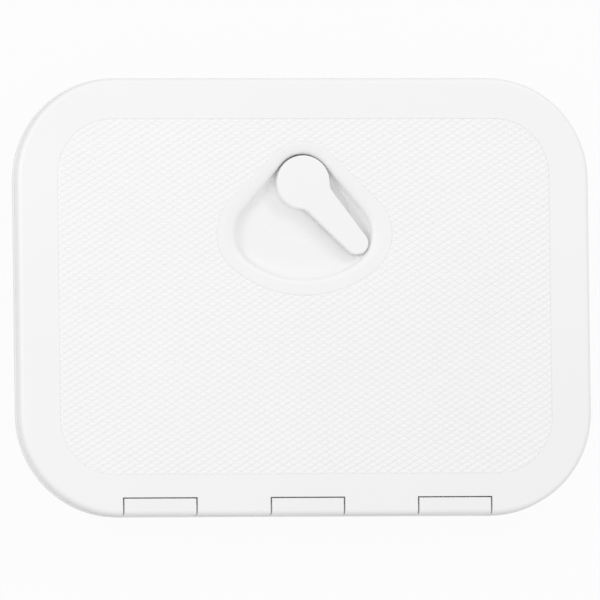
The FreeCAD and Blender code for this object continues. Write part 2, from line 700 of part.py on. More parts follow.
def cut_hinge_notches(body):
    """Room for the three hinge blocks, and the lid's lower hinge edge rounded to swing clear."""
    outside_y = f"({BLOCK_OUTER_Y} - sizes.hinge_axis_inset)"
    below = f"({HINGE_Z} - {NOTCH_RADIUS})"
    above = f"({HINGE_Z} + {NOTCH_RADIUS})"
    for side in HINGE_SIDES:
        notch = new_sketch(body, f"notch_profile_{side}", "YZ_Plane", hinge_centre(side))
        add_outline(notch, [
            (outside_y, above),
            (outside_y, below),
            (HINGE_Y, below),
            (HINGE_Y, above, HINGE_Y, HINGE_Z, -90, 90, True),
        ])
        pocket(body, f"notch_{side}", notch, NOTCH_WIDTH, both_ways=True)
    rounding = new_sketch(body, "lower_edge_profile", "YZ_Plane")
    barrel_bottom = f"({HINGE_Z} - sizes.hinge_axis_inset)"
    add_outline(rounding, [
        (BLOCK_OUTER_Y, HINGE_Z, HINGE_Y, HINGE_Z, 180, 270, False),
        (outside_y, HINGE_Z),
        (outside_y, below),
        (HINGE_Y, below),
        (HINGE_Y, barrel_bottom),
    ])
    pocket(body, "lower_edge", rounding, "sizes.plate_length", both_ways=True)


def add_lip_section(body, name, degrees):
    """One level of the well's rolled lip."""
    turned = f"(1 - sin(({degrees}) * 1deg))"
    share = f"({turned} / (1 - sin(sizes.well_lip_start_angle * 1deg)))"
    sunk = f"(1 - cos(({degrees}) * 1deg) / cos(sizes.well_lip_start_angle * 1deg))"
    height = f"sizes.lid_top - sizes.well_lip_depth * {sunk}"
    sketch = new_sketch(body, name, "XY_Plane", height, LATCH_Y)
    add_fan(
        sketch,
        f"{WELL_HEAD_RADIUS} + sizes.well_lip_head_flare * {share}",
        f"sizes.well_reach + sizes.well_lip_flare * {share}",
        f"sizes.well_corner_radius + sizes.well_lip_corner_flare * {share}",
        f"sizes.well_half_angle - sizes.well_lip_turn * (1 - {share})",
    )
    return sketch


def add_bowl_section(body, name, degrees, wall="0"):
    """One level of the well's bowl, or of the cup round it where a wall is given."""
    share = f"(1 - cos({degrees}deg))"
    bowl_depth = "(sizes.well_depth - sizes.well_wall_depth)"
    height = f"sizes.lid_top - sizes.well_wall_depth - {bowl_depth} * sin({degrees}deg) - {wall}"
    sketch = new_sketch(body, name, "XY_Plane", height, LATCH_Y)
    add_fan(
        sketch,
        f"{WELL_HEAD_RADIUS} - sizes.well_bowl_head_width * {share} + {wall}",
        f"sizes.well_reach - sizes.well_bowl_width * {share} + {wall}",
        f"sizes.well_corner_radius - sizes.well_bowl_corner_loss * {share} + {wall}",
        f"sizes.well_half_angle - sizes.well_lip_turn - sizes.well_bowl_turn * {share}",
    )
    return sketch


def add_finger_well(body):
    """A fan-shaped bowl sunk in the lid for the latch handle, with a boss under it for the spindle."""
    into_skin = f"({LID_UNDERSIDE} + sizes.lid_skin / 2)"
    cup_mouth = new_sketch(body, "cup_mouth_outline", "XY_Plane", into_skin, LATCH_Y)
    add_fan(
        cup_mouth,
        f"{WELL_HEAD_RADIUS} + sizes.cup_wall",
        "sizes.well_reach + sizes.cup_wall",
        "sizes.well_corner_radius + sizes.cup_wall",
        "sizes.well_half_angle - sizes.well_lip_turn",
    )
    outside = [cup_mouth]
    for name, degrees in BOWL_LEVELS.items():
        outside.append(add_bowl_section(body, f"cup_{name}_outline", degrees, "sizes.cup_wall"))
    loft(body, "cup", "PartDesign::AdditiveLoft", outside, ruled=True)

    boss = new_sketch(body, "boss_outline", "XY_Plane", BOSS_BOTTOM, LATCH_Y)
    add_circle(boss, "0", "0", "sizes.boss_radius")
    pad(body, "boss", boss, f"{WELL_FLOOR} - {BOSS_BOTTOM}")

    lip = [add_lip_section(body, f"{name}_outline", degrees) for name, degrees in LIP_LEVELS.items()]
    loft(body, "well_lip", "PartDesign::SubtractiveLoft", lip)
    pocket(body, "well_wall", lip[-1], "sizes.well_wall_depth - sizes.well_lip_depth")
    bowl = [add_bowl_section(body, f"bowl_{name}_outline", degrees) for name, degrees in BOWL_LEVELS.items()]
    loft(body, "well_bowl", "PartDesign::SubtractiveLoft", bowl)

    spindle = new_sketch(body, "spindle_bore_outline", "XY_Plane", WELL_FLOOR, LATCH_Y)
    add_circle(spindle, "0", "0", "sizes.spindle_radius + sizes.spindle_running_gap")
    pocket(body, "spindle_bore", spindle, f"{WELL_FLOOR} - {BOSS_BOTTOM}")


def make_seal():
    """A rubber ring in the lid's channel, just above the coaming's rim."""
    body = new_body("lid_seal")
    sketch = new_sketch(body, "seal_outline", "XY_Plane", SEAL_BOTTOM)
    for sign in ("1", "-1"):
        offset = f"({sign} * sizes.seal_width / 2 - sizes.neck_wall / 2)"
        add_rounded_rectangle(
            sketch,
            f"{NECK_LENGTH} + 2 * {offset}",
            f"{NECK_WIDTH} + 2 * {offset}",
            f"{NECK_RADIUS} + {offset}",
        )
    pad(body, "seal_ring", sketch, f"{LID_UNDERSIDE} - {SEAL_BOTTOM}")
    soften(body, "seal_edge", "PartDesign::Fillet", "sizes.seal_edge_radius", flat_at(SEAL_BOTTOM))
    return body


def make_hinge_block(side):
    """A block flush with the lid, on a foot that reaches in over the flange, with the pin's bore."""
    body = new_body(f"hinge_block_{side}")
    profile = new_sketch(body, f"block_profile_{side}", "YZ_Plane", hinge_centre(side))
    rounded_y = f"({BLOCK_OUTER_Y} + sizes.lid_edge_radius)"
    rounded_z = "(sizes.lid_top - sizes.lid_edge_radius)"
    add_outline(profile, [
        (BLOCK_OUTER_Y, "sizes.flange_thickness"),
        (FOOT_INNER_Y, "sizes.flange_thickness"),
        (FOOT_INNER_Y, FOOT_TOP),
        (BLOCK_INNER_Y, FOOT_TOP),
        (BLOCK_INNER_Y, "sizes.lid_top"),
        (rounded_y, "sizes.lid_top"),
        (BLOCK_OUTER_Y, rounded_z, rounded_y, rounded_z, 90, 180, True),
    ])
    pad(body, f"block_{side}", profile, "sizes.hinge_block_width", both_ways=True)
    inner_y = amount(BLOCK_INNER_Y)
    foot_y = amount(FOOT_INNER_Y)
    top = amount("sizes.lid_top")

    def is_top_inner_edge(edge):
        return lies_at(edge.BoundBox.YMin, inner_y) and lies_at(edge.BoundBox.ZMin, top)
    soften(body, f"block_edge_{side}", "PartDesign::Fillet", "sizes.hinge_block_edge_radius", is_top_inner_edge)

    def is_foot_corner(edge):
        return lies_at(edge.BoundBox.YMin, foot_y) and edge.BoundBox.ZLength > 1.0
    soften(body, f"foot_corner_{side}", "PartDesign::Fillet", "sizes.hinge_foot_corner_radius", is_foot_corner)

    bore = new_sketch(body, f"pin_bore_outline_{side}", "YZ_Plane", hinge_centre(side))
    add_circle(bore, HINGE_Y, HINGE_Z, "sizes.hinge_pin_radius + sizes.hinge_pin_seat_gap")
    pocket(body, f"pin_bore_{side}", bore, "sizes.hinge_block_width", both_ways=True)

    holes = new_sketch(body, f"foot_hole_outlines_{side}", "XY_Plane", FOOT_TOP)
    hole_radius = "(sizes.hinge_screw_radius + sizes.screw_hole_gap)"
    for x in hinge_screw_places(side):
        add_circle(holes, x, HINGE_SCREW_Y, hole_radius)
    pocket(body, f"foot_holes_{side}", holes, "sizes.hinge_foot_thickness")
    mouth = flat_at(FOOT_TOP)
    radius = amount(hole_radius)

    def is_foot_hole_mouth(edge):
        return isinstance(edge.Curve, Part.Circle) and lies_at(edge.Curve.Radius, radius) and mouth(edge)
    soften(
        body,
        f"foot_countersinks_{side}",
        "PartDesign::Chamfer",
        "sizes.hinge_screw_head_radius - sizes.hinge_screw_radius",
        is_foot_hole_mouth,
    )
    return body


def make_hinge_pin(side):
    """A plain pin through the block and both knuckles."""
    body = new_body(f"hinge_pin_{side}")
    outline = new_sketch(body, f"pin_outline_{side}", "YZ_Plane", hinge_centre(side))
    add_circle(outline, HINGE_Y, HINGE_Z, "sizes.hinge_pin_radius")
    pad(body, f"pin_{side}", outline, f"{HINGE_SPAN} - 2 * sizes.hinge_pin_end_play", both_ways=True)
    return body


def make_hinge_screws(side):
    """Two countersunk screws that hold a hinge block's foot to the flange."""
    screws = []
    for number, x in enumerate(hinge_screw_places(side), start=1):
        name = f"hinge_screw_{side}_{number}"
        sink = "(sizes.hinge_screw_head_radius - sizes.hinge_screw_radius)"
        shank = cylinder(
            f"{name}_shank",
            "sizes.hinge_screw_radius",
            f"{FOOT_TOP} - sizes.hinge_screw_tip_gap",
            x,
            HINGE_SCREW_Y,
            "sizes.hinge_screw_tip_gap",
        )
        head = document.addObject("Part::Cone", f"{name}_head")
        bind(head, Radius1="sizes.hinge_screw_radius", Radius2="sizes.hinge_screw_head_radius", Height=sink)
        bind(head, Placement__Base__x=x, Placement__Base__y=HINGE_SCREW_Y)
        bind(head, Placement__Base__z=f"{FOOT_TOP} - {sink}")
        screws.append(fuse(name, [shank, head]))
    group = document.addObject("Part::Compound", f"hinge_screws_{side}")
    group.Label = f"hinge_screws_{side}"
    group.Links = screws
    return group


def stand_at_spindle(item, turn="0"):
    """Put a piece of the latch on the spindle's axis, turned about it."""
    item.Placement = FreeCAD.Placement(VECTOR(), FreeCAD.Rotation(UP, amount(turn)))
    bind(item, Placement__Base__y=LATCH_Y, Placement__Rotation__Angle=f"({turn}) * 1deg")
    return item


def make_handle():
    """The latch handle: a drum with a tapered arm on top, a grooved spindle and a squared end below."""
    body = new_body("latch_handle")
    turned = new_sketch(body, "drum_profile", "XZ_Plane")
    groove_radius = "(sizes.spindle_radius - 2 * sizes.o_ring_section_radius)"
    groove_low = f"({O_RING_Z} - sizes.o_ring_section_radius - sizes.o_ring_side_room)"
    groove_high = f"({O_RING_Z} + sizes.o_ring_section_radius + sizes.o_ring_side_room)"
    arm_underside = f"({HANDLE_TOP} - sizes.handle_arm_thickness)"
    drum_foot_radius = "(sizes.handle_head_radius - sizes.handle_drum_edge_radius)"
    drum_wall_foot = f"({HANDLE_BOTTOM} + sizes.handle_drum_edge_radius)"
    add_outline(turned, [
        ("0", CAM_TOP),
        ("sizes.spindle_radius", CAM_TOP),
        ("sizes.spindle_radius", groove_low),
        (groove_radius, groove_low),
        (groove_radius, groove_high),
        ("sizes.spindle_radius", groove_high),
        ("sizes.spindle_radius", HANDLE_BOTTOM),
        (drum_foot_radius, HANDLE_BOTTOM),
        ("sizes.handle_head_radius", drum_wall_foot, drum_foot_radius, drum_wall_foot, -90, 0, True),
        ("sizes.handle_head_radius", HANDLE_TOP),
        ("0", HANDLE_TOP),
    ])
    revolve(body, "drum", turned)
    arm = new_sketch(body, "arm_outline", "XY_Plane", HANDLE_TOP)
    add_lever(
        arm,
        "sizes.handle_head_radius",
        "sizes.handle_reach",
        "sizes.handle_tip_radius",
        "sizes.handle_taper_angle",
        "sizes.handle_neck_radius",
    )
    pad(body, "arm", arm, "sizes.handle_arm_thickness", reverse=True)
    underside = new_sketch(body, "arm_underside_profile", "YZ_Plane")
    tip_y = "(0 - sizes.handle_reach - sizes.handle_tip_radius)"
    tip_underside = f"({HANDLE_TOP} - sizes.handle_tip_thickness)"
    add_outline(underside, [
        ("0 - sizes.handle_head_radius", arm_underside),
        (f"{tip_y} - sizes.handle_edge_radius", tip_underside),
        (f"{tip_y} - sizes.handle_edge_radius", f"{arm_underside} - sizes.handle_edge_radius"),
        ("0 - sizes.handle_head_radius", f"{arm_underside} - sizes.handle_edge_radius"),
    ])
    pocket(body, "arm_underside", underside, "2 * sizes.handle_reach", both_ways=True)
    soften(body, "arm_top_edge", "PartDesign::Fillet", "sizes.handle_edge_radius", flat_at(HANDLE_TOP))
    square = new_sketch(body, "drive_square_outline", "XY_Plane", CAM_TOP)
    square.setExpression("AttachmentOffset.Rotation.Angle", "sizes.handle_swing_half_angle * 1deg")
    half = "(sizes.drive_square / 2)"
    add_rectangle(square, f"0 - {half}", half, f"0 - {half}", half)
    pad(body, "drive_square", square, f"{CAM_TOP} - {SQUARE_BOTTOM}", reverse=True)
    thread = new_sketch(body, "screw_hole_outline", "XY_Plane", SQUARE_BOTTOM)
    add_circle(thread, "0", "0", "sizes.cam_screw_radius + sizes.screw_hole_gap")
    pocket(body, "screw_hole", thread, "sizes.cam_screw_grip + sizes.cam_screw_runout", reverse=True)
    return stand_at_spindle(body, "sizes.handle_swing_half_angle")


def make_o_ring():
    ring = document.addObject("Part::Torus", "handle_o_ring")
    ring.Label = "handle_o_ring"
    bind(
        ring,
        Radius1="sizes.spindle_radius - sizes.o_ring_section_radius",
        Radius2="sizes.o_ring_section_radius - sizes.o_ring_squeeze_gap",
        Placement__Base__z=O_RING_Z,
    )
    return stand_at_spindle(ring)


def make_washer(name, radius, thickness, bottom, hole):
    disc = cylinder(f"{name}_disc", radius, thickness, z=bottom)
    bore = cylinder(f"{name}_bore", hole, thickness, z=bottom)
    return stand_at_spindle(cut(name, disc, bore))


def make_lock_washer():
    """A split ring under the screw's head."""
    bottom = f"({CAM_BOTTOM} - sizes.cam_washer_thickness - sizes.lock_washer_thickness)"
    disc = cylinder("lock_washer_disc", "sizes.lock_washer_radius", "sizes.lock_washer_thickness", z=bottom)
    bore = cylinder(
        "lock_washer_bore", "sizes.cam_screw_radius + sizes.screw_hole_gap",
        "sizes.lock_washer_thickness", z=bottom,
    )
    split = document.addObject("Part::Box", "lock_washer_gap")
    bind(
        split,
        Length="sizes.lock_washer_radius * 2",
        Width="sizes.lock_washer_split",
        Height="sizes.lock_washer_thickness",
        Placement__Base__y="0 - sizes.lock_washer_split / 2",
        Placement__Base__z=bottom,
    )
    return stand_at_spindle(cut("lock_washer", cut("lock_washer_ring", disc, bore), split))


def make_cam():
    """The latch cam: an arm under the lid with a square hole and a bevelled nose."""
    body = new_body("latch_cam")
    outline = new_sketch(body, "cam_outline", "XY_Plane", CAM_TOP)
    add_lever(
        outline,
        "sizes.cam_hub_radius",
        "sizes.cam_reach",
        "sizes.cam_nose_radius",
        "sizes.cam_taper_angle",
        "sizes.cam_hub_radius",
    )
    half = "(sizes.drive_square / 2 + sizes.drive_square_gap)"
    add_rectangle(outline, f"0 - {half}", half, f"0 - {half}", half)
    pad(body, "cam_arm", outline, "sizes.cam_thickness", reverse=True)
    level = flat_at(CAM_TOP)
    hub_radius = amount("sizes.cam_hub_radius")

    def is_nose_edge(edge):
        return level(edge) and edge.CenterOfMass.y < -hub_radius
    soften(body, "cam_ramp", "PartDesign::Chamfer", "sizes.cam_ramp", is_nose_edge)
    return stand_at_spindle(body, "sizes.handle_swing_half_angle * 2 - 180")


def make_cam_screw():
    """A socket-head screw up into the spindle's end."""
    head_top = f"({CAM_BOTTOM} - sizes.cam_washer_thickness - sizes.lock_washer_thickness)"
    head_bottom = f"({head_top} - sizes.cam_screw_head_height)"
    shank_length = f"({SQUARE_BOTTOM} - {head_top} + sizes.cam_screw_grip)"
    head = cylinder("cam_screw_head", "sizes.cam_screw_head_radius", "sizes.cam_screw_head_height", z=head_bottom)
    shank = cylinder("cam_screw_shank", "sizes.cam_screw_radius", shank_length, z=head_top)
    socket = document.addObject("Part::Prism", "cam_screw_socket")
    socket.Polygon = 6
    bind(socket, Circumradius="sizes.cam_screw_socket / 2 / cos(30deg)", Height="sizes.cam_screw_socket_depth")
    bind(socket, Placement__Base__z=head_bottom)
    return stand_at_spindle(cut("cam_screw", fuse("cam_screw_blank", [head, shank]), socket))


def main():
    pieces = [make_deck_frame(), make_lid(), make_seal()]
    for side in HINGE_SIDES:
        pieces.append(make_hinge_block(side))
        pieces.append(make_hinge_pin(side))
        pieces.append(make_hinge_screws(side))
    pieces.append(make_handle())
    pieces.append(make_o_ring())
    pieces.append(make_washer(
        "thrust_washer", "sizes.thrust_washer_radius", "sizes.thrust_washer_thickness", CAM_TOP,
        "sizes.spindle_radius + sizes.screw_hole_gap",
    ))
    pieces.append(make_cam())
    pieces.append(make_washer(
        "cam_washer", "sizes.cam_washer_radius", "sizes.cam_washer_thickness",
        f"{CAM_BOTTOM} - sizes.cam_washer_thickness", "sizes.cam_screw_radius + sizes.screw_hole_gap",
    ))
    pieces.append(make_lock_washer())
    pieces.append(make_cam_screw())
    document.recompute()

    for item in document.Objects:
        if "Invalid" in item.State or "Error" in item.State:
            raise RuntimeError(f"{item.Label} did not compute: {item.State}")
    os.makedirs("parts", exist_ok=True)
    for piece in pieces:
        shape = piece.Shape
        if shape.isNull() or not shape.isValid() or not shape.Solids:
            raise RuntimeError(f"{piece.Label} has no valid shape")
        shape.exportStep(f"parts/{piece.Label}.step")
        print(piece.Label, len(shape.Solids), round(shape.Volume, 1), shape.BoundBox)


main()
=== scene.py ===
"""Looks of a hinged deck hatch: moulded white plastics, the anti-slip panel of small diamonds, rubber,
nylon and stainless steel, on pale paper between two soft boxes."""
import math

import bpy
from mathutils import Matrix, Vector


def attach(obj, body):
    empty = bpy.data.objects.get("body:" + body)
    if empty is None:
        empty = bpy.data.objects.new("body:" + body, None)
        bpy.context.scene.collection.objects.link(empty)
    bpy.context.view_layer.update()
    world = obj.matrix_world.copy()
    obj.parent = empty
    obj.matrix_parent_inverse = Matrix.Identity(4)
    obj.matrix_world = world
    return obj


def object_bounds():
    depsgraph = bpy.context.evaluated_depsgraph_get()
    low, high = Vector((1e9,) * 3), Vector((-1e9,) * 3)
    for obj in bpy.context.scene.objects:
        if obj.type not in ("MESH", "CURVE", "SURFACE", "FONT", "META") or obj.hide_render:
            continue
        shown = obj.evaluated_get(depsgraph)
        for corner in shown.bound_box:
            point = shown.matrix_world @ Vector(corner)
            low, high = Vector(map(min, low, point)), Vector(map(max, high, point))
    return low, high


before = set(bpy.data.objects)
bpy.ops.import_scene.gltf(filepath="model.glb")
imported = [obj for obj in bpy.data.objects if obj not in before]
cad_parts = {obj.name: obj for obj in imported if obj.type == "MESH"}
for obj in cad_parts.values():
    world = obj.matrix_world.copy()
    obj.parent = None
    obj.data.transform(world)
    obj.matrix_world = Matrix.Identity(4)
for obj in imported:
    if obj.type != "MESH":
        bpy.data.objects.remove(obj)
cad_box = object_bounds()

MM = 0.001

# The anti-slip panel, in millimetres from the middle of the hatch

PANEL_TOP = 14.6
PANEL_HALF_LENGTH = 154.5
PANEL_HALF_WIDTH = 109.5
PANEL_CORNER_RADIUS = 34.5

# The smooth collar round the finger well, about the latch's spindle

SPINDLE_Y = 70.3
COLLAR_HEAD_RADIUS = 24.6
COLLAR_REACH = 69.5
COLLAR_CORNER_RADIUS = 28.0
COLLAR_HALF_ANGLE = math.radians(45)

# One diamond pad: its place in the pattern, then its section from the foot over the shoulder to the crown

PAD_PITCH_X = 6.62
PAD_PITCH_Y = 3.97
PAD_SHIFT_X = 1.29
PAD_SHIFT_Y = -1.02
PAD_GROOVE = 0.16
PAD_HEIGHT = 0.25
PAD_FOOT = 0.06
PAD_SHOULDER_HEIGHT = 0.1
PAD_SHOULDER_INSET = 0.1
PAD_CROWN_INSET = 0.72
PAD_TIP_FLAT = 0.12
PAD_WALL_GAP = 0.2
PAD_LEAST_AREA = 1.2


def colour(hex_code):
    """Turns a colour written as sRGB hex into the linear values that the shaders mix."""
    shares = [int(hex_code[place:place + 2], 16) / 255 for place in (1, 3, 5)]
    linear = [s / 12.92 if s <= 0.04045 else ((s + 0.055) / 1.055) ** 2.4 for s in shares]
    return (*linear, 1.0)


def add_node(tree, kind, settings=None, links=None):
    """Adds one node, sets its options and sockets, and joins its sockets to what feeds them."""
    node = tree.nodes.new(kind)
    for name, value in (settings or {}).items():
        if isinstance(name, str) and hasattr(node, name):
            setattr(node, name, value)
        else:
            node.inputs[name].default_value = value
    for name, source in (links or {}).items():
        tree.links.new(source, node.inputs[name])
    return node


def start_material(name):
    """Makes an empty material, and returns it with its node tree and its object coordinates."""
    material = bpy.data.materials.new(name)
    material.use_nodes = True
    tree = material.node_tree
    tree.nodes.clear()
    place = add_node(tree, "ShaderNodeTexCoord")
    return material, tree, place.outputs["Object"]


def per_mm(size):
    """Gives the texture scale whose pattern repeats after this many millimetres."""
    return 1 / (size * MM)


def moulded_plastic(name, tint, shade, roughness, grain, grain_depth):
    """White plastic moulded against a spark-eroded tool: a satin face with a fine even grain.

    The grain breaks up the highlights, and a slow drift in the tint and the gloss shows how the melt ran.
    """
    material, tree, place = start_material(name)
    flow = add_node(tree, "ShaderNodeTexNoise", {"Scale": per_mm(70), "Detail": 3.0}, {"Vector": place})
    tone = add_node(
        tree, "ShaderNodeMix", {"data_type": "RGBA", 6: colour(tint), 7: colour(shade)},
        {0: flow.outputs["Fac"]},
    )
    gloss = add_node(
        tree, "ShaderNodeMapRange", {"To Min": roughness - 0.04, "To Max": roughness + 0.04},
        {"Value": flow.outputs["Fac"]},
    )
    sparks = add_node(tree, "ShaderNodeTexNoise", {"Scale": per_mm(grain), "Detail": 2.0}, {"Vector": place})
    relief = add_node(
        tree, "ShaderNodeBump", {"Strength": 0.5, "Distance": grain_depth * MM},
        {"Height": sparks.outputs["Fac"]},
    )
    surface = add_node(
        tree, "ShaderNodeBsdfPrincipled", {"IOR": 1.5},
        {
            "Base Color": tone.outputs[2],
            "Roughness": gloss.outputs["Result"],
            "Normal": relief.outputs["Normal"],
        },
    )
    add_node(tree, "ShaderNodeOutputMaterial", {}, {"Surface": surface.outputs["BSDF"]})
    return material


def sponge_rubber():
    """Black closed-cell rubber, extruded: soft dark cells with no highlight."""
    material, tree, place = start_material("extruded_sponge_rubber")
    cells = add_node(tree, "ShaderNodeTexVoronoi", {"Scale": per_mm(0.7)}, {"Vector": place})
    tone = add_node(
        tree, "ShaderNodeMix", {"data_type": "RGBA", 6: colour("#141414"), 7: colour("#2a2a2a")},
        {0: cells.outputs["Distance"]},
    )
    relief = add_node(
        tree, "ShaderNodeBump", {"Strength": 0.6, "Distance": 0.1 * MM},
        {"Height": cells.outputs["Distance"]},
    )
    surface = add_node(
        tree, "ShaderNodeBsdfPrincipled", {"Roughness": 0.85, "IOR": 1.52},
        {"Base Color": tone.outputs[2], "Normal": relief.outputs["Normal"]},
    )
    add_node(tree, "ShaderNodeOutputMaterial", {}, {"Surface": surface.outputs["BSDF"]})
    return material


def nylon(name, tint, shade, roughness, depth):
    """Nylon, moulded: streaks from the melt, and light that enters pale nylon a little way."""
    material, tree, place = start_material(name)
    streaks = add_node(tree, "ShaderNodeTexNoise", {"Scale": per_mm(2.5), "Detail": 4.0}, {"Vector": place})
    tone = add_node(
        tree, "ShaderNodeMix", {"data_type": "RGBA", 6: colour(tint), 7: colour(shade)},
        {0: streaks.outputs["Fac"]},
    )
    relief = add_node(
        tree, "ShaderNodeBump", {"Strength": 0.4, "Distance": 0.05 * MM},
        {"Height": streaks.outputs["Fac"]},
    )
    surface = add_node(
        tree, "ShaderNodeBsdfPrincipled",
        {"Roughness": roughness, "IOR": 1.53, "Subsurface Weight": depth, "Subsurface Scale": 1.5 * MM},
        {"Base Color": tone.outputs[2], "Normal": relief.outputs["Normal"]},
    )
    add_node(tree, "ShaderNodeOutputMaterial", {}, {"Surface": surface.outputs["BSDF"]})
    return material


def stainless_steel(name, lay):
    """Stainless steel, turned: fine tool marks run across the lay, which draw the light into bands."""
    material, tree, place = start_material(name)
    stretched = add_node(tree, "ShaderNodeMapping", {"Scale": lay}, {"Vector": place})
    marks = add_node(
        tree, "ShaderNodeTexNoise", {"Scale": per_mm(0.3), "Detail": 3.0},
        {"Vector": stretched.outputs["Vector"]},
    )
    gloss = add_node(
        tree, "ShaderNodeMapRange", {"To Min": 0.2, "To Max": 0.38}, {"Value": marks.outputs["Fac"]},
    )
    relief = add_node(
        tree, "ShaderNodeBump", {"Strength": 0.3, "Distance": 0.03 * MM}, {"Height": marks.outputs["Fac"]},
    )
    tone = add_node(
        tree, "ShaderNodeMix", {"data_type": "RGBA", 6: colour("#c4c2bd"), 7: colour("#d6d4d0")},
        {0: marks.outputs["Fac"]},
    )
    surface = add_node(
        tree, "ShaderNodeBsdfPrincipled", {"Metallic": 1.0},
        {
            "Base Color": tone.outputs[2],
            "Roughness": gloss.outputs["Result"],
            "Normal": relief.outputs["Normal"],
        },
    )
    add_node(tree, "ShaderNodeOutputMaterial", {}, {"Surface": surface.outputs["BSDF"]})
    return material


# The lid and the frame have the same satin white, and the pads' crowns are a shade paler and smoother, as feet
# rub them. The handle is a denser plastic with a finer face.
lid_plastic = moulded_plastic("moulded_asa_lid", "#f5f5f5", "#f2f2f2", 0.42, 0.35, 0.02)
pad_plastic = moulded_plastic("moulded_asa_pads", "#f8f8f8", "#f5f5f5", 0.36, 0.35, 0.01)
frame_plastic = moulded_plastic("moulded_asa_frame", "#f4f4f4", "#f1f1f1", 0.42, 0.35, 0.02)
handle_plastic = moulded_plastic("moulded_acetal_handle", "#f5f5f5", "#f3f3f3", 0.34, 0.3, 0.01)

# Below the lid: dull black rubber, cream and black nylon, and bright steel with its lay along or round the axis
seal_rubber = sponge_rubber()
washer_nylon = nylon("moulded_natural_nylon", "#ece6d6", "#e2dac6", 0.45, 0.15)
cam_nylon = nylon("moulded_glass_filled_nylon", "#1b1c1e", "#2b2c2f", 0.55, 0.0)
pin_steel = stainless_steel("drawn_stainless_pin", (0.02, 1.0, 1.0))
screw_steel = stainless_steel("turned_stainless_screw", (0.1, 0.1, 1.0))

NODE_MATERIALS = {
    "deck_frame": frame_plastic,
    "lid": lid_plastic,
    "lid_seal": seal_rubber,
    "latch_handle": handle_plastic,
    "handle_o_ring": seal_rubber,
    "thrust_washer": washer_nylon,
    "latch_cam": cam_nylon,
    "cam_washer": screw_steel,
    "lock_washer": screw_steel,
    "cam_screw": screw_steel,
}
for side in ("left", "middle", "right"):
    NODE_MATERIALS[f"hinge_block_{side}"] = frame_plastic
    NODE_MATERIALS[f"hinge_pin_{side}"] = pin_steel
    NODE_MATERIALS[f"hinge_screws_{side}"] = screw_steel

for node_name, material in NODE_MATERIALS.items():
    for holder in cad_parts[node_name].material_slots:
        holder.material = material


def room_to_panel_edge(x, y):
    """Gives how far a point is inside the panel's round-cornered edge, and which way the edge lies."""
    past_x = abs(x) - (PANEL_HALF_LENGTH - PANEL_CORNER_RADIUS)
    past_y = abs(y) - (PANEL_HALF_WIDTH - PANEL_CORNER_RADIUS)
    if past_x > 0 and past_y > 0:
        reach = math.hypot(past_x, past_y)
        way = Vector((past_x / reach, past_y / reach))
    elif past_x > past_y:
        reach = past_x
        way = Vector((1, 0))
    else:
        reach = past_y
        way = Vector((0, 1))
    return PANEL_CORNER_RADIUS - reach, Vector((math.copysign(way.x, x), math.copysign(way.y, y)))


def room_to_collar(x, y):
    """Gives how far a point is outside the fan-shaped collar, and which way the collar lies."""
    spot = Vector((abs(x), y - SPINDLE_Y))
    along = Vector((math.sin(COLLAR_HALF_ANGLE), -math.cos(COLLAR_HALF_ANGLE)))
    outward = Vector((math.cos(COLLAR_HALF_ANGLE), math.sin(COLLAR_HALF_ANGLE)))
    setback = COLLAR_HEAD_RADIUS - COLLAR_CORNER_RADIUS
    run = math.sqrt((COLLAR_REACH - COLLAR_CORNER_RADIUS) ** 2 - setback ** 2)
    corner = outward * setback + along * run
    travel = spot.dot(along)
    if math.atan2(spot.x, -spot.y) < math.atan2(corner.x, -corner.y):
        room = spot.length - COLLAR_REACH
        way = -spot.normalized()
    elif travel < 0:
        room = spot.length - COLLAR_HEAD_RADIUS
        way = -spot.normalized()
    elif travel < run:
        room = spot.dot(outward) - COLLAR_HEAD_RADIUS
        way = -outward
    else:
        room = (spot - corner).length - COLLAR_CORNER_RADIUS
        way = (corner - spot).normalized()
    return room, Vector((math.copysign(1, x) * way.x, way.y))


def trim(outline, way, limit):
    """Cuts off what lies further than the limit in one direction."""
    kept = []
    for place, point in enumerate(outline):
        before = outline[place - 1]
        here = point.dot(way) - limit
        there = before.dot(way) - limit
        if (here < 0) != (there < 0):
            kept.append(before.lerp(point, there / (there - here)))
        if here < 0:
            kept.append(point)
    return kept


def area_of(outline):
    """Gives the area of a flat outline."""
    return abs(sum(a.cross(b) for a, b in zip(outline, outline[1:] + outline[:1]))) / 2


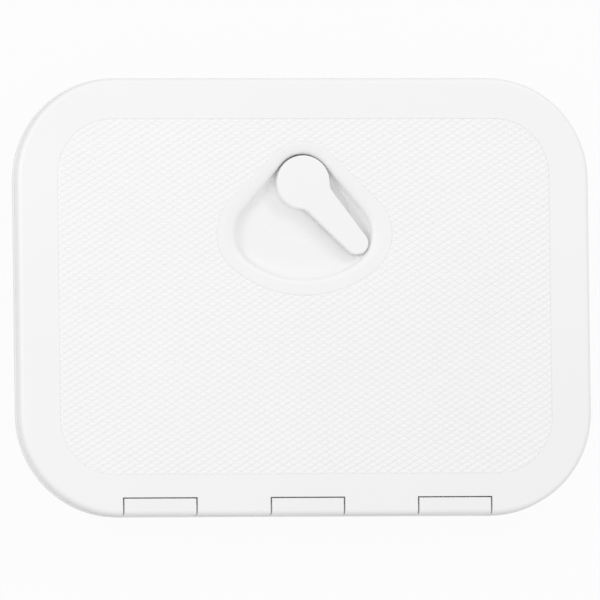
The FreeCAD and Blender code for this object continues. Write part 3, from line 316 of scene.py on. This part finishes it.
def add_diamond_pads():
    """Moulds the anti-slip diamonds: low pads with rounded shoulders, packed edge to edge.

    Those at the panel's edge and at the collar are cut to its line, as the tool's cutter left them.
    """
    half_x = PAD_PITCH_X / 2 - PAD_GROOVE
    half_y = PAD_PITCH_Y / 2 - PAD_GROOVE * PAD_PITCH_Y / PAD_PITCH_X
    slope = half_y / half_x
    diamond = [
        Vector((half_x - PAD_TIP_FLAT, PAD_TIP_FLAT * slope)),
        Vector((0, half_y)),
        Vector((PAD_TIP_FLAT - half_x, PAD_TIP_FLAT * slope)),
        Vector((PAD_TIP_FLAT - half_x, -PAD_TIP_FLAT * slope)),
        Vector((0, -half_y)),
        Vector((half_x - PAD_TIP_FLAT, -PAD_TIP_FLAT * slope)),
    ]
    columns = math.ceil(PANEL_HALF_LENGTH / PAD_PITCH_X * 2) + 1
    rows = math.ceil(PANEL_HALF_WIDTH / PAD_PITCH_Y * 2) + 1
    points, faces = [], []
    for column in range(-columns, columns + 1):
        for row in range(-rows, rows + 1):
            if (column + row) % 2:
                continue
            x = PAD_SHIFT_X + column * PAD_PITCH_X / 2
            y = PAD_SHIFT_Y + row * PAD_PITCH_Y / 2
            outline = diamond
            for room, way in (room_to_panel_edge(x, y), room_to_collar(x, y)):
                if outline:
                    outline = trim(outline, way, room - PAD_WALL_GAP)
            if len(outline) < 3 or area_of(outline) < PAD_LEAST_AREA:
                continue
            middle = sum(outline, Vector((0, 0))) / len(outline)
            around = sum((a - b).length for a, b in zip(outline, outline[1:] + outline[:1]))
            half_depth = 2 * area_of(outline) / around
            first = len(points)
            for inset, height in (
                (0, -PAD_FOOT),
                (PAD_SHOULDER_INSET, PAD_SHOULDER_HEIGHT),
                (PAD_CROWN_INSET, PAD_HEIGHT),
            ):
                share = max(1 - inset / half_depth, 0.15)
                for corner in outline:
                    spot = middle + (corner - middle) * share
                    points.append(((x + spot.x) * MM, (y + spot.y) * MM, (PANEL_TOP + height) * MM))
            count = len(outline)
            for ring in (0, 1):
                for side_number in range(count):
                    a = first + ring * count + side_number
                    b = first + ring * count + (side_number + 1) % count
                    faces.append((a, b, b + count, a + count))
            faces.append(tuple(first + 2 * count + corner for corner in range(count)))
    mesh = bpy.data.meshes.new("anti_slip_diamonds")
    mesh.from_pydata(points, [], faces)
    mesh.shade_smooth()
    mesh.materials.append(pad_plastic)
    pads = bpy.data.objects.new("anti_slip_diamonds", mesh)
    bpy.context.scene.collection.objects.link(pads)
    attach(pads, "lid")


add_diamond_pads()

# The studio: the paper's half width in metres and its gap below the hatch in millimetres, then the light that
# comes from all round, and the soft boxes in metres

FLOOR_HALF_SIZE = 5.0
FLOOR_GAP = 0.3
FLOOR_PAPER = "#cccccc"
FLOOR_SHOWN_WHITE = 0.95
WORLD_LEVEL = 0.8
LAMP_DISTANCE = 1.4
LAMP_WIDTH = 0.55


def is_seen_directly(tree):
    """Gives 1 for rays from the camera, from a gloss and through glass, and 0 for the light itself."""
    ray = add_node(tree, "ShaderNodeLightPath")
    gloss = add_node(
        tree, "ShaderNodeMath", {"operation": "MAXIMUM"},
        {0: ray.outputs["Is Camera Ray"], 1: ray.outputs["Is Glossy Ray"]},
    )
    return add_node(
        tree, "ShaderNodeMath", {"operation": "MAXIMUM"},
        {0: gloss.outputs[0], 1: ray.outputs["Is Transmission Ray"]},
    ).outputs[0]


def add_floor():
    """Lays grey paper under the hatch, shown nearly white, with the hatch's shadow, and clear from below."""
    half = FLOOR_HALF_SIZE
    height = cad_box[0][2] - FLOOR_GAP * MM
    mesh = bpy.data.meshes.new("studio_floor")
    corners = [(-half, -half, height), (half, -half, height), (half, half, height), (-half, half, height)]
    mesh.from_pydata(corners, [], [(0, 1, 2, 3)])
    material = bpy.data.materials.new("matt_studio_paper")
    material.use_nodes = True
    tree = material.node_tree
    tree.nodes.clear()
    paper = add_node(tree, "ShaderNodeBsdfDiffuse", {"Color": colour(FLOOR_PAPER)})
    glow = add_node(tree, "ShaderNodeEmission", {"Color": colour("#ffffff"), "Strength": 1.0})
    seen = is_seen_directly(tree)
    share = add_node(tree, "ShaderNodeMath", {"operation": "MULTIPLY", 1: FLOOR_SHOWN_WHITE}, {0: seen})
    mix = add_node(
        tree, "ShaderNodeMixShader", {},
        {0: share.outputs[0], 1: paper.outputs[0], 2: glow.outputs[0]},
    )
    side = add_node(tree, "ShaderNodeNewGeometry")
    clear = add_node(tree, "ShaderNodeBsdfTransparent")
    one_sided = add_node(
        tree, "ShaderNodeMixShader", {},
        {0: side.outputs["Backfacing"], 1: mix.outputs[0], 2: clear.outputs[0]},
    )
    add_node(tree, "ShaderNodeOutputMaterial", {}, {"Surface": one_sided.outputs[0]})
    mesh.materials.append(material)
    floor = bpy.data.objects.new("studio_floor", mesh)
    bpy.context.scene.collection.objects.link(floor)


def add_world():
    """Fills in with even white light from all round, and shows plain white behind the floor."""
    world = bpy.data.worlds.new("white_studio")
    bpy.context.scene.world = world
    world.use_nodes = True
    tree = world.node_tree
    tree.nodes.clear()
    fill = add_node(tree, "ShaderNodeBackground", {"Color": colour("#ffffff"), "Strength": WORLD_LEVEL})
    white = add_node(tree, "ShaderNodeBackground", {"Color": colour("#ffffff"), "Strength": 1.0})
    mix = add_node(
        tree, "ShaderNodeMixShader", {},
        {0: is_seen_directly(tree), 1: fill.outputs[0], 2: white.outputs[0]},
    )
    add_node(tree, "ShaderNodeOutputWorld", {}, {"Surface": mix.outputs[0]})


def add_soft_box(name, azimuth, elevation, share):
    """Hangs one large soft lamp that aims at the hatch and gives its level top a share of full light."""
    around = math.radians(azimuth)
    above = math.radians(elevation)
    toward = Vector((
        math.cos(above) * math.cos(around),
        math.cos(above) * math.sin(around),
        math.sin(above),
    ))
    lamp = bpy.data.lights.new(name, "AREA")
    lamp.shape = "DISK"
    lamp.size = LAMP_WIDTH
    lamp.energy = share * (math.pi * LAMP_DISTANCE) ** 2 / math.sin(above)
    holder = bpy.data.objects.new(name, lamp)
    holder.location = toward * LAMP_DISTANCE
    holder.rotation_euler = toward.to_track_quat("Z", "Y").to_euler()
    bpy.context.scene.collection.objects.link(holder)


# The camera's lens and sensor, and the width of the picture at the hatch, in millimetres, with its view from
# the left and a little below

LENS = 1400.0
SENSOR_WIDTH = 36.0
PICTURE_WIDTH = 368.9
VIEW_FROM = Vector((-0.2045, -0.050, 0.978))
VIEW_ROLL = math.radians(0.75)
VIEW_TARGET = Vector((-2.15, -2.0, 9.0))


def add_camera():
    """Looks down at the hatch from the left, from far off, as the photograph does."""
    backward = VIEW_FROM.normalized()
    right = Vector((0, 1, 0)).cross(backward).normalized()
    upward = backward.cross(right)
    distance = PICTURE_WIDTH * MM * LENS / SENSOR_WIDTH
    place = VIEW_TARGET * MM + backward * distance
    upright = Matrix((right, upward, backward)).transposed().to_4x4()
    lens = bpy.data.cameras.new("camera")
    lens.lens = LENS
    lens.sensor_width = SENSOR_WIDTH
    lens.clip_end = distance * 2
    camera = bpy.data.objects.new("camera", lens)
    camera.matrix_world = Matrix.Translation(place) @ upright @ Matrix.Rotation(-VIEW_ROLL, 4, "Z")
    bpy.context.scene.collection.objects.link(camera)
    bpy.context.scene.camera = camera


add_floor()
add_world()
add_soft_box("left_soft_box", azimuth=165, elevation=40, share=0.12)
add_soft_box("right_soft_box", azimuth=45, elevation=40, share=0.08)
add_camera()
bpy.context.scene.view_settings.view_transform = "Standard"
